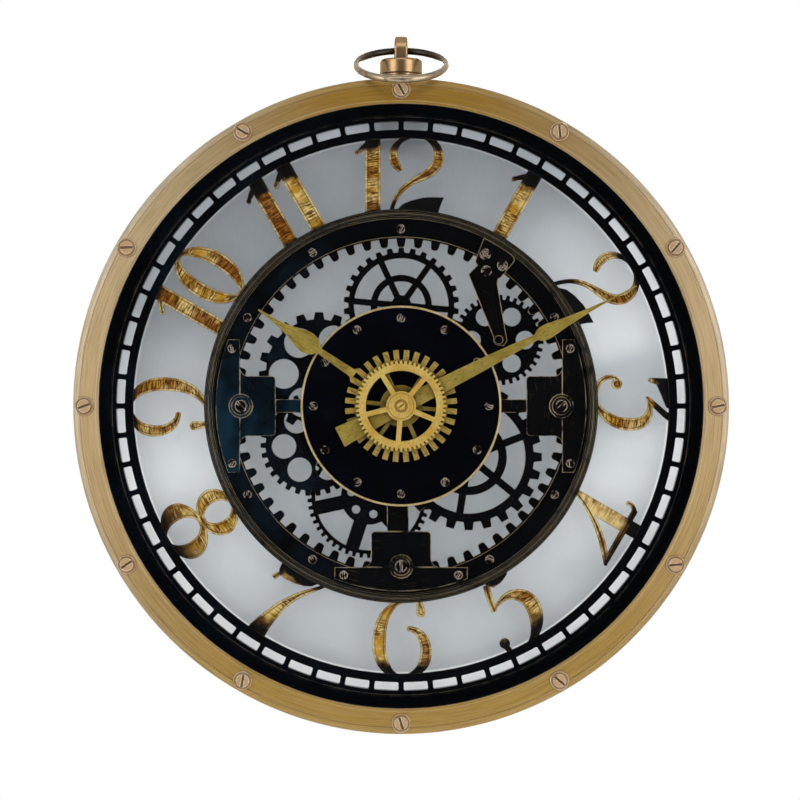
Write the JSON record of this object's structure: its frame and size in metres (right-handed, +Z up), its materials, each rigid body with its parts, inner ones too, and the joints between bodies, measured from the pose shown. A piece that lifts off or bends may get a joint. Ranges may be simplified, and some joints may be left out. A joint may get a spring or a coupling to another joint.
{
  "type": "wall clock",
  "caption": "Round wall clock in pocket-watch form: skeleton gear dial with raised numerals behind glass, turning hands and train, and a swinging bow on the crown.",
  "frame": {"origin": "point where the dial's axis meets the wall, in the plane of the drum's rear rim", "axes": "+X to the right of the dial, +Y into the wall along the dial's axis, +Z up to twelve o'clock"},
  "size_m": [0.33, 0.0619, 0.3556],
  "materials": {
    "antique_gold": "brushed antique gold",
    "rose_brass": "polished rosy brass",
    "dark_brass": "worn dark brass",
    "black_gloss": "glossy black",
    "worn_black": "black with worn edges",
    "aged_gold": "streaked aged gold",
    "copper_screw": "dull copper",
    "hand_gold": "satin mustard gold",
    "bright_gold": "satin bright gold",
    "pale_gold": "satin pale gold",
    "clear_glass": "clear",
    "satin_grey": "satin light grey",
    "steel": "bright",
    "plain_brass": "bright",
    "black_plate": "painted black",
    "movement_black": "matt black",
    "train_ivory": "ivory",
    "copper_wire": "enamelled copper",
    "board_green": "green lacquer",
    "battery_shell": "plain dark wrap"
  },
  "bodies": {
    "case": {"bezel": "antique_gold", "case_drum": "black_gloss", "bezel_screws": "rose_brass", "front_glass": "clear_glass", "spacer_ring": "black_gloss", "back_panel": "satin_grey", "back_panel_screws": "steel", "crown": "rose_brass", "minute_track": "worn_black", "numeral_1": "aged_gold", "numeral_2": "aged_gold", "numeral_3": "aged_gold", "numeral_4": "aged_gold", "numeral_5": "aged_gold", "numeral_6": "aged_gold", "numeral_7": "aged_gold", "numeral_8": "aged_gold", "numeral_9": "aged_gold", "numeral_10": "aged_gold", "numeral_11": "aged_gold", "numeral_12": "aged_gold", "inner_gear_ring": "worn_black", "bracket_left": "worn_black", "bracket_right": "worn_black", "bracket_bottom": "worn_black", "bracket_screws": "copper_screw", "ring_screws": "copper_screw", "wheel_top": "worn_black", "wheel_upper_right": "worn_black", "wheel_lower_right": "worn_black", "wheel_bottom": "worn_black", "wheel_lower_left": "worn_black", "wheel_upper_left": "worn_black", "wheel_cock": "worn_black", "cock_screws": "copper_screw", "centre_disc": "worn_black", "disc_rim": "pale_gold", "disc_screws": "copper_screw", "movement_plate": "black_plate", "movement_case": "movement_black", "movement_cover": "movement_black", "fixing_nut": "plain_brass", "stator": "steel", "drive_coil": "copper_wire", "circuit_board": "board_green", "battery": "battery_shell", "battery_contacts": "steel"},
    "seconds_arbor": {"seconds_wheel": "train_ivory", "seconds_gear": "bright_gold"},
    "rotor_arbor": {"rotor": "steel"},
    "intermediate_arbor": {"intermediate_wheel": "train_ivory"},
    "third_arbor": {"third_wheel": "train_ivory"},
    "centre_arbor": {"centre_wheel": "train_ivory"},
    "minute_arbor": {"minute_cannon": "plain_brass", "minute_hand": "hand_gold"},
    "motion_arbor": {"motion_wheel": "train_ivory"},
    "hour_arbor": {"hour_wheel": "train_ivory", "hour_hand": "hand_gold"},
    "setting_arbor": {"setting_knob": "movement_black"},
    "bow": {"bow_ring": "dark_brass"}
  },
  "joints": [
    {"name": "seconds_spin", "type": "hinge", "parent": "case", "child": "seconds_arbor", "pos_m": [0, -0.012, 0], "axis": [0, 1, 0], "continuous": true},
    {"name": "rotor_spin", "type": "hinge", "parent": "case", "child": "rotor_arbor", "pos_m": [0.01905, -0.012, 0.00838], "axis": [0, 1, 0], "continuous": true},
    {"name": "intermediate_spin", "type": "hinge", "parent": "case", "child": "intermediate_arbor", "pos_m": [0.0106, -0.012, 0.00612], "axis": [0, 1, 0], "continuous": true},
    {"name": "third_spin", "type": "hinge", "parent": "case", "child": "third_arbor", "pos_m": [-0.0106, -0.012, 0.00612], "axis": [0, 1, 0], "continuous": true},
    {"name": "centre_spin", "type": "hinge", "parent": "case", "child": "centre_arbor", "pos_m": [0, -0.012, 0], "axis": [0, 1, 0], "continuous": true},
    {"name": "minute_spin", "type": "hinge", "parent": "case", "child": "minute_arbor", "pos_m": [0, -0.012, 0], "axis": [0, 1, 0], "continuous": true},
    {"name": "motion_spin", "type": "hinge", "parent": "case", "child": "motion_arbor", "pos_m": [0, -0.012, 0.009], "axis": [0, 1, 0], "continuous": true},
    {"name": "hour_spin", "type": "hinge", "parent": "case", "child": "hour_arbor", "pos_m": [0, -0.012, 0], "axis": [0, 1, 0], "continuous": true},
    {"name": "setting_spin", "type": "hinge", "parent": "case", "child": "setting_arbor", "pos_m": [0, -0.012, 0.018], "axis": [0, 1, 0], "continuous": true},
    {"name": "bow_swing", "type": "hinge", "parent": "case", "child": "bow", "pos_m": [0, -0.019, 0.183], "axis": [-1, 0, 0], "range_deg": [0, 138]}
  ],
  "couplings": [
    {"joint": "intermediate_spin", "follows": "seconds_spin", "ratio": -5},
    {"joint": "rotor_spin", "follows": "seconds_spin", "ratio": 30},
    {"joint": "third_spin", "follows": "seconds_spin", "ratio": -0.13333},
    {"joint": "centre_spin", "follows": "seconds_spin", "ratio": 0.016667},
    {"joint": "motion_spin", "follows": "minute_spin", "ratio": -0.33333},
    {"joint": "hour_spin", "follows": "minute_spin", "ratio": 0.083333},
    {"joint": "setting_spin", "follows": "minute_spin", "ratio": 1}
  ]
}
